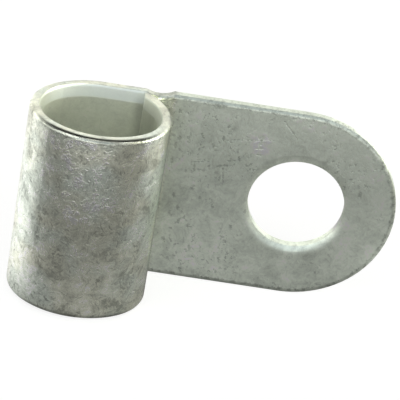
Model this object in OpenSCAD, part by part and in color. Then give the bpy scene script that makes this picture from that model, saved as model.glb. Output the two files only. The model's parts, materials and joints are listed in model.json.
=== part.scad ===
// Side entry cable lug, folded from one strip of tinned copper sheet.
// A round ended palm with a stud hole carries a rolled barrel whose axis
// lies across the palm. The strip leaves the palm as the back wall of the
// barrel, runs left, round the front and up the right side, and its free
// edge closes against the front face of the palm.
// X runs along the palm towards its round end, Z along the barrel axis,
// the palm faces -Y. Millimetres, standing on z = 0.

/* [Sheet] */
// thickness of the strip
sheet_t = 1.0; // [0.6:0.02:2]

/* [Palm] */
// width of the palm
palm_w = 17.7; // [12:0.1:40]
// stud hole diameter
hole_d = 8.4; // [4:0.1:17]
// hole centre to the round end
end_dist = 8.65; // [6:0.05:20]
// hole centre to barrel centre
pitch = 17.85; // [14:0.05:40]

/* [Barrel] */
// length of the barrel along its axis
barrel_l = 17.4; // [10:0.1:40]
// outside width of the barrel, along the palm
barrel_w = 12.0; // [8:0.1:30]
// outside depth of the barrel, front to back
barrel_d = 10.7; // [7.2:0.1:30]
// radius of the last bend, which closes the barrel
close_r = 5.7; // [3:0.1:20]
// barrel centre to the end face of the strip, along the palm
close_x = 3.45; // [2:0.05:12]
// rounding of the free edge towards the inside
tip_r = 0.4; // [0.1:0.05:0.5]
// length of the bevel inside each end of the barrel
bell_w = 1.15; // [0.4:0.05:3]
// depth of the bevel at the end of the barrel
bell_h = 0.14; // [0.02:0.01:0.4]

/* [Relief] */
// barrel centre to the middle of the relief between barrel and palm
relief_x = 4.6; // [3:0.1:20]
// radius of the relief
relief_r = 2.5; // [0.5:0.1:4]
// depth of the relief below the end of the barrel
relief_h = 0.22; // [0.1:0.02:1]

/* [Edges] */
// width of the rolled edge on the front and inner face
roll_w = 0.36; // [0.1:0.02:0.8]
// depth of the rolled edge into the thickness
roll_h = 0.12; // [0.05:0.01:0.4]
// rounding of the edge on the back and outer face
back_r = 0.34; // [0.05:0.01:0.4]
// width of the rolled mouth round the hole
mouth_w = 0.76; // [0.2:0.02:1.2]
// depth of the rolled mouth
mouth_h = 0.23; // [0.1:0.01:0.5]

/* [Hidden] */
$fn = 96;
half_a = barrel_w / 2;
half_b = barrel_d / 2;
end_r = palm_w / 2;
end_x = end_dist - end_r;

// Oval of four arcs. Flank and wall arcs meet on lines that rise 4 in 3.
oval_m = 2 * (half_a - half_b);
flank_off = 0.75 * oval_m;
wall_off = oval_m;
flank_r = half_a - flank_off;
wall_r = half_b + wall_off;

// Barrel centre, with the hole axis at x = 0 and the palm front at y = 0.
// The back of the palm runs straight into the back wall of the barrel.
bar_x = -pitch;
bar_y = sheet_t - half_b;

// Radii of the rolled edges.
roll_R = (roll_w * roll_w + roll_h * roll_h) / (2 * roll_h);
mouth_R = (mouth_w * mouth_w + mouth_h * mouth_h) / (2 * mouth_h);

// Rounding circle of the free edge, from the barrel's centre: it dips just
// below the inner face of the last bend.
close_in = close_r - sheet_t + tip_r - 0.02;
tip_dx = close_x + tip_r - half_a + close_r;
tip_y = sqrt(close_in * close_in - tip_dx * tip_dx);
tip_x = half_a - close_r + tip_dx * (1 - tip_r / close_in);

// Middle of the part brought over the origin.
shift_x = (half_a - bar_x - end_dist) / 2;
shift_y = -bar_y;

far = 20;
tin = [0.78, 0.79, 0.75];

// Corner to take off the rolled side of the strip, at the origin.
module roll_corner() {
    difference() {
        translate([-0.5, -roll_w])
            square([0.5 + roll_h, roll_w + 0.5]);
        translate([roll_R, -roll_w])
            circle(r = roll_R);
    }
}

// Corner to take off the other side of the strip, at the origin.
module back_corner() {
    difference() {
        translate([-back_r, -back_r])
            square([back_r + 0.5, back_r + 0.5]);
        translate([-back_r, -back_r])
            circle(r = back_r);
    }
}

// Cross section of the strip: x through the thickness with the rolled
// face at 0, y across the width.
module strip(w) {
    difference() {
        translate([0, -w / 2])
            square([sheet_t, w]);
        translate([0, w / 2])
            roll_corner();
        mirror([0, 1])
            translate([0, w / 2])
                roll_corner();
        translate([sheet_t, w / 2])
            back_corner();
        mirror([0, 1])
            translate([sheet_t, w / 2])
                back_corner();
    }
}

// Corner to take off the bevelled end of the barrel, at the origin.
module bell_corner() {
    polygon([[0, -bell_w], [bell_h, 0], [bell_h, 0.5], [-0.5, 0.5],
        [-0.5, -bell_w]]);
    translate([bell_h * (1 - roll_w / bell_w), 0])
        roll_corner();
}

// Cross section of the strip where it is rolled into the barrel.
module barrel_strip() {
    difference() {
        strip(barrel_l);
        translate([0, barrel_l / 2])
            bell_corner();
        mirror([0, 1])
            translate([0, barrel_l / 2])
                bell_corner();
    }
}

// Ring of strip round a vertical axis, rolled face inside.
module ring(r_out) {
    rotate_extrude()
        translate([r_out - sheet_t, 0])
            barrel_strip();
}

// Part of a ring inside a wedge whose sides pass through its centre.
module bend(cx, cy, r_out, wedge) {
    translate([cx, cy, 0])
        intersection() {
            ring(r_out);
            translate([0, 0, -barrel_l])
                linear_extrude(height = 2 * barrel_l)
                    polygon(wedge);
        }
}

module back_wall() {
    bend(bar_x, bar_y - wall_off, wall_r,
        [[0, 0], [0, far], [-0.6 * far, 0.8 * far]]);
}

module left_flank() {
    bend(bar_x - flank_off, bar_y, flank_r,
        [[0, 0], [-0.6 * far, 0.8 * far], [-far, 0], [-0.6 * far, -0.8 * far]]);
}

module front_wall() {
    bend(bar_x, bar_y + wall_off, wall_r,
        [[0, 0], [-0.6 * far, -0.8 * far], [0.6 * far, -0.8 * far]]);
}

module right_flank() {
    bend(bar_x + flank_off, bar_y, flank_r,
        [[0, 0], [0.6 * far, -0.8 * far], [far, 0]]);
}

// Last bend, trimmed at the strip's end face and where it presses on
// the palm, its inner corner rounded.
module free_edge() {
    difference() {
        free_bend();
        tip_corner();
    }
}

// Corner to take off the inner side of the strip's end face.
module tip_corner() {
    translate([bar_x, bar_y, -barrel_l])
        linear_extrude(height = 2 * barrel_l)
            difference() {
                translate([close_x - 0.5, tip_y - 1])
                    square([0.5 + tip_x - close_x, 1]);
                translate([close_x + tip_r, tip_y])
                    circle(r = tip_r);
            }
}

module free_bend() {
    intersection() {
        bend(bar_x + half_a - close_r, bar_y, close_r,
            [[0, 0], [far, 0], [far, far], [0, far]]);
        translate([bar_x + close_x, bar_y - 1, -barrel_l])
            cube([barrel_w, 1.04 - bar_y, 2 * barrel_l]);
    }
}

// Straight part of the strip, from the back wall to the round end.
module palm_plate() {
    translate([bar_x, 0, 0])
        rotate([90, 0, 90])
            linear_extrude(height = relief_x)
                barrel_strip();
    translate([bar_x + relief_x, 0, 0])
        rotate([90, 0, 90])
            linear_extrude(height = pitch - relief_x + end_x)
                strip(palm_w);
    round_end();
}

// Cutter for the shallow relief between barrel and palm, with the same
// edges as the strip.
module relief_cut() {
    translate([bar_x + relief_x, 0, barrel_l / 2 - relief_h + relief_r])
        rotate([-90, 0, 0])
            rotate_extrude()
                difference() {
                    translate([0, -0.03])
                        square([relief_r + 0.6, sheet_t + 1]);
                    translate([relief_r + palm_w / 2, 0])
                        rotate([0, 0, 90])
                            mirror([0, 1])
                                strip(palm_w);
                    translate([relief_r + roll_w, -1])
                        square([1, 1.01]);
                }
}

module round_end() {
    translate([end_x, 0, 0])
        intersection() {
            rotate([-90, 0, 0])
                rotate_extrude()
                    half_strip();
            translate([0, -far, -far])
                cube([far, 2 * far, 2 * far]);
        }
}

// Half of the palm's cross section: x from its middle to its edge, y
// through the thickness with the rolled face at 0.
module half_strip() {
    intersection() {
        rotate([0, 0, 90])
            mirror([0, 1])
                strip(palm_w);
        translate([0, -1])
            square([palm_w, sheet_t + 2]);
    }
}

// Cutter for the stud hole with its rolled mouth.
module hole_cut() {
    rotate([-90, 0, 0])
        rotate_extrude()
            difference() {
                translate([0, -1])
                    square([hole_d / 2 + mouth_w, sheet_t + 2]);
                translate([hole_d / 2, mouth_h])
                    square([mouth_w + 1, sheet_t + 2]);
                intersection() {
                    translate([hole_d / 2 + mouth_w, mouth_R])
                        circle(r = mouth_R);
                    translate([hole_d / 2, 0])
                        square([mouth_w + 1, mouth_h + 0.01]);
                }
            }
}

module cable_lug() {
    color(tin)
        translate([shift_x, shift_y, palm_w / 2])
            difference() {
                union() {
                    palm_plate();
                    back_wall();
                    left_flank();
                    front_wall();
                    right_flank();
                    free_edge();
                }
                hole_cut();
                relief_cut();
                mirror([0, 0, 1])
                    relief_cut();
            }
}

cable_lug();
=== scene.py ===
"""Side entry cable lug in tinned copper, on a pale floor under soft studio light.

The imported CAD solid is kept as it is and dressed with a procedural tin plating. Everything
is in metres in the CAD frame: X along the palm to its round end, Z along the barrel axis,
the palm facing -Y, standing on z = 0. Surface patterns are laid out in millimetres.
"""
import json
import math
from types import SimpleNamespace

import bpy
from mathutils import Matrix, Vector


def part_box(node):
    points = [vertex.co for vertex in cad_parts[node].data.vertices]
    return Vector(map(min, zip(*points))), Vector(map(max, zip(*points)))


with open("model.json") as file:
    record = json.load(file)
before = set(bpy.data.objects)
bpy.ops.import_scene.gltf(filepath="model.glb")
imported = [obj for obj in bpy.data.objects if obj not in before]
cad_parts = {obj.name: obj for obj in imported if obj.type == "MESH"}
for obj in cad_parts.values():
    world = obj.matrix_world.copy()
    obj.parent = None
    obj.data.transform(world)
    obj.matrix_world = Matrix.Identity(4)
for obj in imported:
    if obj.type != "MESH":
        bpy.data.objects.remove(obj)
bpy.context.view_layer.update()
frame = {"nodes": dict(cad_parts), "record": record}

MM = 0.001
LUG = "cable_lug"
LOW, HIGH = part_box(LUG)
SHEET = 1.0
BORE = next(m for m in frame["record"]["mounts"] if m["name"] == "stud_hole")
# centre of the stud hole on the front face of the palm, in millimetres
HOLE = Vector((BORE["pos_m"][0] / MM, HIGH.y / MM - SHEET, BORE["pos_m"][2] / MM))
# the barrel's outside width and depth, the radius of its last bend, and from its centre to
# the end face of the strip
BARREL_W, BARREL_D, CLOSE_R, CLOSE_X = 12.0, 10.7, 5.7, 3.45
WALL_OFF = BARREL_W - BARREL_D
FLANK_OFF = 0.75 * WALL_OFF
WALL_R, FLANK_R = BARREL_D / 2 + WALL_OFF, BARREL_W / 2 - FLANK_OFF
BARREL = Vector((LOW.x / MM + BARREL_W / 2, 0.0, HOLE.z))
BARREL_SIDE = BARREL.x + BARREL_W / 2
# half the length of the barrel, half the width of the palm, centre of the palm's round end
# from the hole
BARREL_END, PALM_HALF, END_X = 8.7, 8.85, -0.2


class Tree:
    """Short hand for building a node tree."""

    def __init__(self, tree):
        self.tree = tree
        tree.nodes.clear()

    def add(self, kind, props=None, out=0, **inputs):
        node = self.tree.nodes.new("ShaderNode" + kind)
        for key, value in (props or {}).items():
            setattr(node, key, value)
        for key, value in inputs.items():
            self.put(node, key.replace("_", " "), value)
        return node.outputs[out] if out is not None else node

    def put(self, node, key, value):
        socket = node.inputs[int(key)] if key.isdigit() else node.inputs[key]
        if isinstance(value, bpy.types.NodeSocket):
            self.tree.links.new(value, socket)
        else:
            socket.default_value = value

    def math(self, op, a, b=0.0, c=0.0, clamp=False):
        node = self.tree.nodes.new("ShaderNodeMath")
        node.operation = op
        node.use_clamp = clamp
        for i, value in enumerate((a, b, c)):
            self.put(node, str(i), value)
        return node.outputs[0]

    def mul(self, a, b):
        return self.math("MULTIPLY", a, b)

    def sub(self, a, b):
        return self.math("SUBTRACT", a, b)

    def plus(self, a, b):
        return self.math("ADD", a, b)

    def peak(self, a, b):
        return self.math("MAXIMUM", a, b)

    def fade(self, region, share):
        """1 outside a region, less by the given share inside it."""
        return self.sub(1.0, self.mul(region, share))

    def vec(self, op, a, b=(0.0, 0.0, 0.0), scale=1.0, out="Vector"):
        node = self.tree.nodes.new("ShaderNodeVectorMath")
        node.operation = op
        self.put(node, "0", a)
        self.put(node, "1", b)
        if op == "SCALE":
            self.put(node, "Scale", scale)
        return node.outputs[out]

    def step(self, value, low, high, to_low=0.0, to_high=1.0):
        """Smooth step of value between low and high."""
        node = self.tree.nodes.new("ShaderNodeMapRange")
        node.interpolation_type = "SMOOTHSTEP"
        for key, v in (("Value", value), ("From Min", low), ("From Max", high),
                       ("To Min", to_low), ("To Max", to_high)):
            self.put(node, key, v)
        return node.outputs[0]

    def noise(self, at, scale, detail=2.0, rough=0.5, distort=0.0, out="Fac"):
        node = self.tree.nodes.new("ShaderNodeTexNoise")
        node.noise_dimensions = "3D"
        for key, v in (("Vector", at), ("Scale", scale), ("Detail", detail),
                       ("Roughness", rough), ("Distortion", distort)):
            self.put(node, key, v)
        return node.outputs[out]

    def mix(self, fac, a, b):
        node = self.tree.nodes.new("ShaderNodeMix")
        node.data_type = "RGBA"
        node.clamp_factor = True
        for socket, v in ((node.inputs[0], fac), (node.inputs[6], a), (node.inputs[7], b)):
            if isinstance(v, bpy.types.NodeSocket):
                self.tree.links.new(v, socket)
            else:
                socket.default_value = v
        return node.outputs[2]

    def mix_shader(self, fac, a, b):
        node = self.tree.nodes.new("ShaderNodeMixShader")
        for i, v in enumerate((fac, a, b)):
            self.put(node, str(i), v)
        return node.outputs[0]

    def far(self, a, b):
        """Length of the vector (a, b)."""
        return self.math("SQRT", self.plus(self.mul(a, a), self.mul(b, b)))

    def pick(self, fac, a, b):
        """a where fac is 0, b where it is 1."""
        return self.plus(self.mul(b, fac), self.mul(a, self.sub(1.0, fac)))

    def scratches(self, at, seed, scale, width, length):
        """Short straight marks, one in each random cell, in random directions."""
        at = self.vec("ADD", at, (seed, 2.7 * seed, -1.3 * seed))
        cell = self.tree.nodes.new("ShaderNodeTexVoronoi")
        cell.voronoi_dimensions = "3D"
        self.put(cell, "Vector", at)
        self.put(cell, "Scale", scale)
        off = self.vec("SUBTRACT", at, cell.outputs["Position"])
        way = self.vec("NORMALIZE", self.vec("SUBTRACT", cell.outputs["Color"], (0.5, 0.5, 0.5)))
        across = self.math("ABSOLUTE", self.vec("DOT_PRODUCT", off, way, out="Value"))
        along = self.vec("LENGTH", off, out="Value")
        return self.mul(self.step(across, width, 0.35 * width),
                        self.step(along, length, 0.5 * length))

    def strokes(self, at, seed, scale, lines, width):
        """Short curved marks: level lines of a soft noise, broken up by a second one."""
        at = self.vec("ADD", at, (seed, -1.9 * seed, 0.7 * seed))
        level = self.mul(self.noise(at, scale, 1.0), lines)
        line = self.math("ABSOLUTE", self.sub(self.math("FRACT", level), 0.5))
        gate = self.noise(self.vec("ADD", at, (9.1, 4.3, 6.7)), 2.3 * scale, 1.0)
        return self.mul(self.step(line, width, 0.3 * width), self.step(gate, 0.52, 0.6))

    def line(self, u, v, ragged, u0, v0, u1, v1, half):
        """A straight ragged mark between two points of the plane (u, v)."""
        long = math.hypot(u1 - u0, v1 - v0)
        cu, cv = (u1 - u0) / long, (v1 - v0) / long
        du, dv = self.sub(u, u0), self.sub(v, v0)
        along = self.plus(self.mul(du, cu), self.mul(dv, cv))
        across = self.sub(self.mul(dv, cu), self.mul(du, cv))
        over = self.sub(self.math("ABSOLUTE", self.sub(along, long / 2)), long / 2)
        away = self.plus(self.peak(self.math("ABSOLUTE", across), over),
                         self.mul(ragged, 0.5))
        return self.step(away, half, 0.3 * half)


def grey(v):
    return (v, v, v, 1.0)


# Pits on the front of the palm, placed after the photo: x and z from the hole, reach, in
# millimetres.
PITS = (
    (-10.0, 5.3, 0.22), (-10.9, 4.8, 0.25), (-11.2, 4.2, 0.28), (-7.9, 4.5, 0.25),
    (-7.2, 5.4, 0.2), (-11.2, 2.6, 0.3), (-8.0, 2.5, 0.24), (-5.8, 4.4, 0.24),
    (-9.1, 0.3, 0.25), (-10.6, -0.7, 0.3), (-10.1, -2.0, 0.28), (-7.1, -1.4, 0.24),
    (-4.3, -1.4, 0.2), (-9.9, 1.8, 0.24), (-5.3, -3.1, 0.24), (5.6, 3.0, 0.25),
    (5.3, 2.0, 0.3), (-8.5, -5.8, 0.25), (-5.1, -7.4, 0.22),
)
# Scratches there, placed after the photo: x and z of both ends, half width.
LINES = (
    (-2.3, 8.0, -0.9, 6.4, 0.07), (-9.6, 2.7, -8.0, 3.0, 0.06), (-7.3, 2.7, -6.5, 2.85, 0.14),
    (-6.8, 2.6, -6.6, 1.2, 0.05), (-6.5, 3.35, -5.9, 3.45, 0.06), (-7.0, 5.3, -2.8, 6.0, 0.04),
)


def regions(t, x, y, z):
    """Regions of the lug, each 0 outside it and 1 in it."""
    bx, by = t.sub(x, BARREL.x), t.sub(y, BARREL.y)
    ax, ay = t.math("ABSOLUTE", bx), t.math("ABSOLUTE", by)
    mid = t.math("ABSOLUTE", t.sub(z, HOLE.z))

    # Distance past the outer face of the barrel, negative in and under its wall.
    flank = t.sub(t.far(t.sub(ax, FLANK_OFF), ay), FLANK_R)
    wall = t.sub(t.far(ax, t.plus(ay, WALL_OFF)), WALL_R)
    # Flank and wall arcs meet on lines that rise 4 in 3.
    on_flank = t.math("GREATER_THAN", t.sub(t.mul(ax, 0.8), t.mul(ay, 0.6)), 0.8 * FLANK_OFF)
    before_tip = t.peak(t.sub(by, BARREL_D / 2), t.sub(bx, CLOSE_X + SHEET / 2))
    last_bend = t.sub(t.far(t.sub(bx, BARREL_W / 2 - CLOSE_R), by), CLOSE_R)
    closing = t.math("MINIMUM", before_tip, last_bend)
    corner = t.mul(t.math("GREATER_THAN", bx, 0.0), t.math("GREATER_THAN", by, 0.0))
    skin = t.pick(corner, t.pick(on_flank, wall, flank), closing)

    barrel = t.step(x, BARREL_SIDE + 0.35, BARREL_SIDE - 0.05)
    inside = t.mul(t.math("LESS_THAN", skin, -SHEET / 2),
                   t.step(mid, BARREL_END - 0.04, BARREL_END - 0.1))
    # Painted shade on the outer rounded edge of the barrel's ends, front and back: darker colour
    # that stands in for the dark overhead mirrored there and dims the edge's highlight.
    lip = t.mul(t.step(skin, -0.52, -0.25), t.step(mid, BARREL_END - 0.5, BARREL_END - 0.2))
    front_and_back = t.plus(t.step(by, -2.5, -4.4), t.step(by, 3.0, 4.6, 0.0, 0.7))
    # Painted shade inside the barrel, on the back wall beside the free edge's tip and on the wall
    # past it, stronger deeper down: it stands in for the shade in that corner.
    by_tip = t.mul(t.step(by, 4.1, 4.3), t.step(bx, 2.3, 3.4))
    behind_tip = t.mul(t.step(by, -1.5, 2.5), t.step(bx, 3.2, 3.5))
    nook = t.mul(t.mul(inside, t.peak(by_tip, behind_tip)),
                 t.step(mid, BARREL_END - 0.1, BARREL_END - 1.5, 0.1, 1.0))
    # Painted shade: a dark line down the barrel's right side next to the palm, standing in for the
    # shade in that crevice.
    crease = t.mul(t.step(bx, 5.6, 5.9), t.step(by, -1.6, -0.6))
    return SimpleNamespace(
        barrel=barrel,
        inside=inside,
        bevel=t.mul(inside, t.step(mid, BARREL_END - 1.3, BARREL_END - 1.0)),
        back=t.step(by, 1.0, 3.6),
        tip=t.step(bx, 3.3, 3.6),
        lip=t.mul(t.mul(lip, barrel), front_and_back),
        nook=nook,
        palm=t.mul(t.sub(1.0, barrel), t.step(y, HOLE.y + 0.65, HOLE.y + 0.45)),
        crease=t.mul(crease, t.step(y, HOLE.y - 0.03, HOLE.y - 0.25)),
        end=t.step(mid, BARREL_END - 0.1, BARREL_END - 0.01))


def patterns(t, p):
    """Mottling, fine light and dark marks, and specks, laid out at p in millimetres."""
    warp = t.vec("SCALE", t.vec("SUBTRACT", t.noise(p, 0.9, 2.0, out="Color"),
                                (0.5, 0.5, 0.5)), scale=0.9)
    bent = t.vec("ADD", p, warp)
    strokes = t.peak(t.strokes(bent, 3.1, 1.2, 7.0, 0.09), t.strokes(p, 27.3, 2.0, 5.0, 0.1))
    scratches = t.peak(t.scratches(bent, 3.1, 1.25, 0.05, 0.46),
                       t.scratches(bent, 17.3, 1.9, 0.04, 0.34))
    cluster = t.step(t.noise(p, 0.33, 2.0, 0.5), 0.42, 0.62)
    speck = t.peak(t.step(t.noise(p, 2.6, 2.0, 0.7), 0.57, 0.66),
                   t.step(t.noise(bent, 1.3, 3.0, 0.7), 0.6, 0.68))
    return SimpleNamespace(
        broad=t.sub(t.noise(p, 0.16, 3.0, 0.55), 0.5),
        mottle=t.sub(t.noise(bent, 0.45, 5.0, 0.8, 0.3), 0.5),
        cloud=t.sub(t.noise(bent, 0.8, 2.0, 0.6), 0.5),
        light=t.peak(scratches, strokes),
        dark=t.peak(t.scratches(bent, 47.9, 1.4, 0.07, 0.4),
                    t.strokes(bent, 61.7, 1.5, 5.0, 0.1)),
        speck=t.mul(speck, cluster))


def rolled_edge(t, p, y, hx, hz, palm):
    """The rolled edge round the front of the palm, and the nicks along it."""
    edge = t.far(t.peak(t.plus(hx, -END_X), 0.0), hz)
    # Mask of the rolled edge, which gets painted shade that dims its mirrored highlight.
    roll = t.mul(t.mul(palm, t.step(y, HOLE.y + 0.25, HOLE.y + 0.1)),
                 t.step(edge, PALM_HALF - 0.45, PALM_HALF - 0.25))
    nicks = t.mul(t.step(edge, PALM_HALF - 0.55, PALM_HALF - 0.35),
                  t.mul(palm, t.step(t.noise(p, 3.1, 2.0, 0.7), 0.5, 0.6)))
    return roll, nicks


def palm_marks(t, p, hx, hz, palm):
    """Single pits and scratches on the front of the palm."""
    ragged = t.mul(t.sub(t.noise(p, 3.5, 2.0, 0.7), 0.5), 0.8)
    marks = 0.0
    for mx, mz, reach in PITS:
        away = t.far(t.mul(t.sub(hx, mx), 1.3), t.mul(t.sub(hz, mz), 0.75))
        marks = t.peak(marks, t.step(t.plus(away, ragged), reach, 0.3 * reach))
    for u0, v0, u1, v1, half in LINES:
        marks = t.peak(marks, t.line(hx, hz, ragged, u0, v0, u1, v1, half))
    return t.mul(marks, palm)


def tin_colour(t, p, tone, roll, r):
    """Grey-green tin, lighter with tone; painted shade on the palm's rolled edge, the barrel's
    outer rim edge, the crease and the nook, and painted light and shade on the bevels.
    """
    tint = t.mix(t.step(t.noise(p, 0.3, 2.0), 0.35, 0.65), (0.985, 1.0, 0.83, 1.0),
                 (0.93, 1.0, 0.88, 1.0))
    tint = t.mix(r.barrel, (0.93, 1.0, 0.86, 1.0), tint)
    shade = t.math("MULTIPLY_ADD", tone, 0.8, t.pick(r.barrel, 0.45, 0.39))
    # Painted shade: the palm's rolled edge and the barrel's outer rim edge are darkened to dim the
    # highlights they mirror, and the crease beside the barrel for its shade; the end faces are a
    # little darker.
    for region, share in ((roll, 0.3), (r.end, 0.12), (r.lip, 0.5), (r.crease, 0.5)):
        shade = t.mul(shade, t.fade(region, share))
    colour = t.vec("SCALE", tint, scale=shade)
    satin = t.vec("SCALE", (0.97, 1.0, 0.89), scale=t.math("MULTIPLY_ADD", tone, 0.6, 0.62))
    colour = t.mix(r.inside, colour, satin)
    # Painted light and shade on the bevel inside the mouth: paler and bluish on the back wall,
    # where it is lit, and darker near the free edge's tip, where it lies in shade.
    pale = t.mix(r.back, (0.74, 0.78, 0.68, 1.0), (0.88, 0.94, 0.92, 1.0))
    pale = t.mix(r.tip, pale, (0.62, 0.65, 0.56, 1.0))
    colour = t.mix(t.mul(r.bevel, 0.75), colour, pale)
    # painted shade in the nook by the free edge's tip
    return t.vec("SCALE", colour, scale=t.fade(r.nook, 0.35))


def tin_plating():
    """Tumbled tin: mottled and finely scratched outside, plain and satin inside the barrel."""
    mat = bpy.data.materials.new("tinned_copper_finish")
    mat.use_nodes = True
    t = Tree(mat.node_tree)
    p = t.vec("SCALE", t.add("TexCoord", out="Object"), scale=1.0 / MM)
    x, y, z = t.add("SeparateXYZ", out=None, Vector=p).outputs
    hx, hz = t.sub(x, HOLE.x), t.sub(z, HOLE.z)
    r = regions(t, x, y, z)
    pat = patterns(t, p)
    roll, nicks = rolled_edge(t, p, y, hx, hz, r.palm)
    marks = palm_marks(t, p, hx, hz, r.palm)

    # How much of each pattern shows on the palm and on the barrel.
    tone = t.mul(pat.mottle, t.pick(r.barrel, 1.8, 3.0))
    for pattern, on_palm, on_barrel in (
            (pat.broad, 0.5, 0.5), (pat.cloud, 0.25, 0.8), (pat.light, 0.05, 0.22),
            (pat.dark, -0.1, -0.32), (pat.speck, -0.42, -0.25), (marks, -0.38, -0.38),
            (nicks, -0.4, -0.4)):
        tone = t.plus(tone, t.mul(pattern, t.pick(r.barrel, on_palm, on_barrel)))
    calm = t.sub(1.0, t.peak(t.mul(r.inside, 0.75), t.mul(r.end, 0.5)))
    tone = t.math("MULTIPLY_ADD", tone, calm, 0.55, clamp=True)

    rough = t.step(tone, 0.0, 1.0, t.pick(r.barrel, 0.42, 0.36), t.pick(r.barrel, 0.32, 0.26))
    rough = t.plus(rough, t.mul(r.inside, 0.22))

    height = t.mul(pat.mottle, t.pick(r.barrel, 0.8, 2.0))
    height = t.plus(height, t.mul(pat.light, t.pick(r.barrel, 0.02, 0.07)))
    height = t.sub(height, t.mul(pat.dark, t.pick(r.barrel, 0.03, 0.1)))
    height = t.sub(height, t.mul(t.peak(marks, pat.speck), 0.2))
    bump = t.add("Bump", Strength=1.0, Distance=0.035 * MM, Height=t.mul(height, calm))

    bsdf = t.add("BsdfPrincipled", out=None, Base_Color=tin_colour(t, p, tone, roll, r),
                 Roughness=rough, Normal=bump, Metallic=t.fade(r.bevel, 0.35))
    t.add("OutputMaterial", out=None, Surface=bsdf.outputs[0])
    return mat


# --- the lug ---------------------------------------------------------------
lug = frame["nodes"][LUG]
finish = tin_plating()
for i in range(len(lug.data.materials)):
    lug.data.materials[i] = finish


# --- stage -----------------------------------------------------------------
def floor_material():
    """Reads as white to the camera and keeps the shadow. Mirrored in the metal it is dim in
    front of the lug, and bright farther out and beside it."""
    mat = bpy.data.materials.new("pale_floor")
    mat.use_nodes = True
    t = Tree(mat.node_tree)
    here = t.vec("SCALE", t.add("TexCoord", out="Object"), scale=1.0 / MM)
    ray = t.add("LightPath", out=None)
    xyz = t.add("SeparateXYZ", out=None, Vector=here)
    x, y = xyz.outputs[0], xyz.outputs[1]
    beside = t.mul(t.step(y, -9.0, 1.0), t.step(t.math("ABSOLUTE", x), 13.0, 20.0))
    level = t.plus(t.step(y, -6.0, -20.0, 0.26, 0.1), t.step(y, -28.0, -60.0, 0.0, 0.6))
    level = t.plus(level, t.step(y, -60.0, -110.0, 0.0, 1.1))
    side = t.plus(t.step(x, -12.0, 20.0, 1.05, 0.7), t.step(x, 30.0, 60.0, 0.0, 1.1))
    level = t.pick(beside, level, side)
    paper = t.add("BsdfDiffuse", Color=grey(0.3))
    white = t.add("Emission", Color=grey(1.0), Strength=0.79)
    direct = t.add("AddShader", **{"0": paper, "1": white})
    mirrored = t.add("Emission", Color=grey(1.0), Strength=level)
    both = t.mix_shader(ray.outputs["Is Glossy Ray"], direct, mirrored)
    t.add("OutputMaterial", out=None, Surface=both)
    return mat


def add_floor():
    mesh = bpy.data.meshes.new("floor")
    half = 1.5
    mesh.from_pydata([(-half, -half, 0), (half, -half, 0), (half, half, 0), (-half, half, 0)],
                     [], [(0, 1, 2, 3)])
    mesh.materials.append(floor_material())
    obj = bpy.data.objects.new("floor", mesh)
    bpy.context.scene.collection.objects.link(obj)
    obj.location.z = LOW.z


PANELS = (
    # level, tint, elevation from and to, azimuth from and to, in degrees from -Y towards X
    (0.80, (0.92, 1.0, 1.1), (-4, 42), (-30, 30)),
    (2.70, (1.0, 1.0, 1.0), (6, 50), (-60, -30)),
    (1.40, (1.0, 1.0, 0.95), (-4, 26), (-105, -60)),
    (1.70, (1.0, 1.0, 1.0), (50, 75), (-25, 25)),
    (2.80, (1.0, 1.0, 1.0), (25, 52), (30, 60)),
    (6.50, (1.0, 1.0, 0.85), (-4, 26), (64, 105)),
)


def add_world():
    """A white tent with dark gaps: light panels round the camera and a pale wall behind."""
    world = bpy.data.worlds.new("studio")
    bpy.context.scene.world = world
    world.use_nodes = True
    t = Tree(world.node_tree)
    xyz = t.add("SeparateXYZ", out=None, Vector=t.add("TexCoord", out="Generated"))
    ray = t.add("LightPath", out=None)
    rise = t.mul(t.math("ARCSINE", xyz.outputs[2]), 180.0 / math.pi)
    turn = t.math("ARCTAN2", xyz.outputs[0], t.mul(xyz.outputs[1], -1.0))
    turn = t.mul(turn, 180.0 / math.pi)

    def window(value, low, high, soft):
        return t.mul(t.step(value, low - soft, low + soft),
                     t.step(value, high + soft, high - soft))

    wall = t.mul(t.step(t.math("ABSOLUTE", turn), 96.0, 112.0),
                 t.step(rise, 54.0, 36.0, 0.0, 1.2))
    light = t.vec("SCALE", (1.0, 1.0, 0.97), scale=wall)
    for level, tint, rises, turns in PANELS:
        lit = t.mul(window(rise, *rises, 3.0), window(turn, *turns, 5.0))
        light = t.vec("ADD", light, t.vec("SCALE", tint, scale=t.mul(lit, level)))
    seen = t.peak(ray.outputs["Is Camera Ray"], ray.outputs["Is Transmission Ray"])
    light = t.mix(seen, light, grey(1.0))
    back = t.add("Background", Color=light, Strength=1.0)
    t.add("OutputWorld", out=None, Surface=back)


# half the width of the picture, as a share of its distance from the lens
HALF_VIEW = 0.07347539


def add_camera():
    """Looks down on the palm from the front, slightly from the left, rolled as the lug leans."""
    azimuth, elevation, roll = (math.radians(v) for v in (-2.432, 29.455, 9.873))
    distance, slide_right, slide_up = 235.8, 8.259, 0.940
    sa, ca, se, ce = math.sin(azimuth), math.cos(azimuth), math.sin(elevation), math.cos(elevation)
    right, up = Vector((ca, sa, 0.0)), Vector((-sa * se, ca * se, ce))
    back = Vector((sa * ce, -ca * ce, se))
    at = HOLE + back * distance - right * slide_right - up * slide_up
    rx = right * math.cos(roll) + up * math.sin(roll)
    uy = up * math.cos(roll) - right * math.sin(roll)
    cam = bpy.data.cameras.new("camera")
    cam.sensor_fit = "HORIZONTAL"
    cam.angle = 2.0 * math.atan(HALF_VIEW)
    cam.clip_start, cam.clip_end = 0.01, 10.0
    obj = bpy.data.objects.new("camera", cam)
    bpy.context.scene.collection.objects.link(obj)
    obj.matrix_world = Matrix((
        (rx.x, uy.x, back.x, at.x * MM),
        (rx.y, uy.y, back.y, at.y * MM),
        (rx.z, uy.z, back.z, at.z * MM),
        (0.0, 0.0, 0.0, 1.0)))
    bpy.context.scene.camera = obj


add_floor()
add_world()
add_camera()
bpy.context.scene.view_settings.view_transform = "Standard"
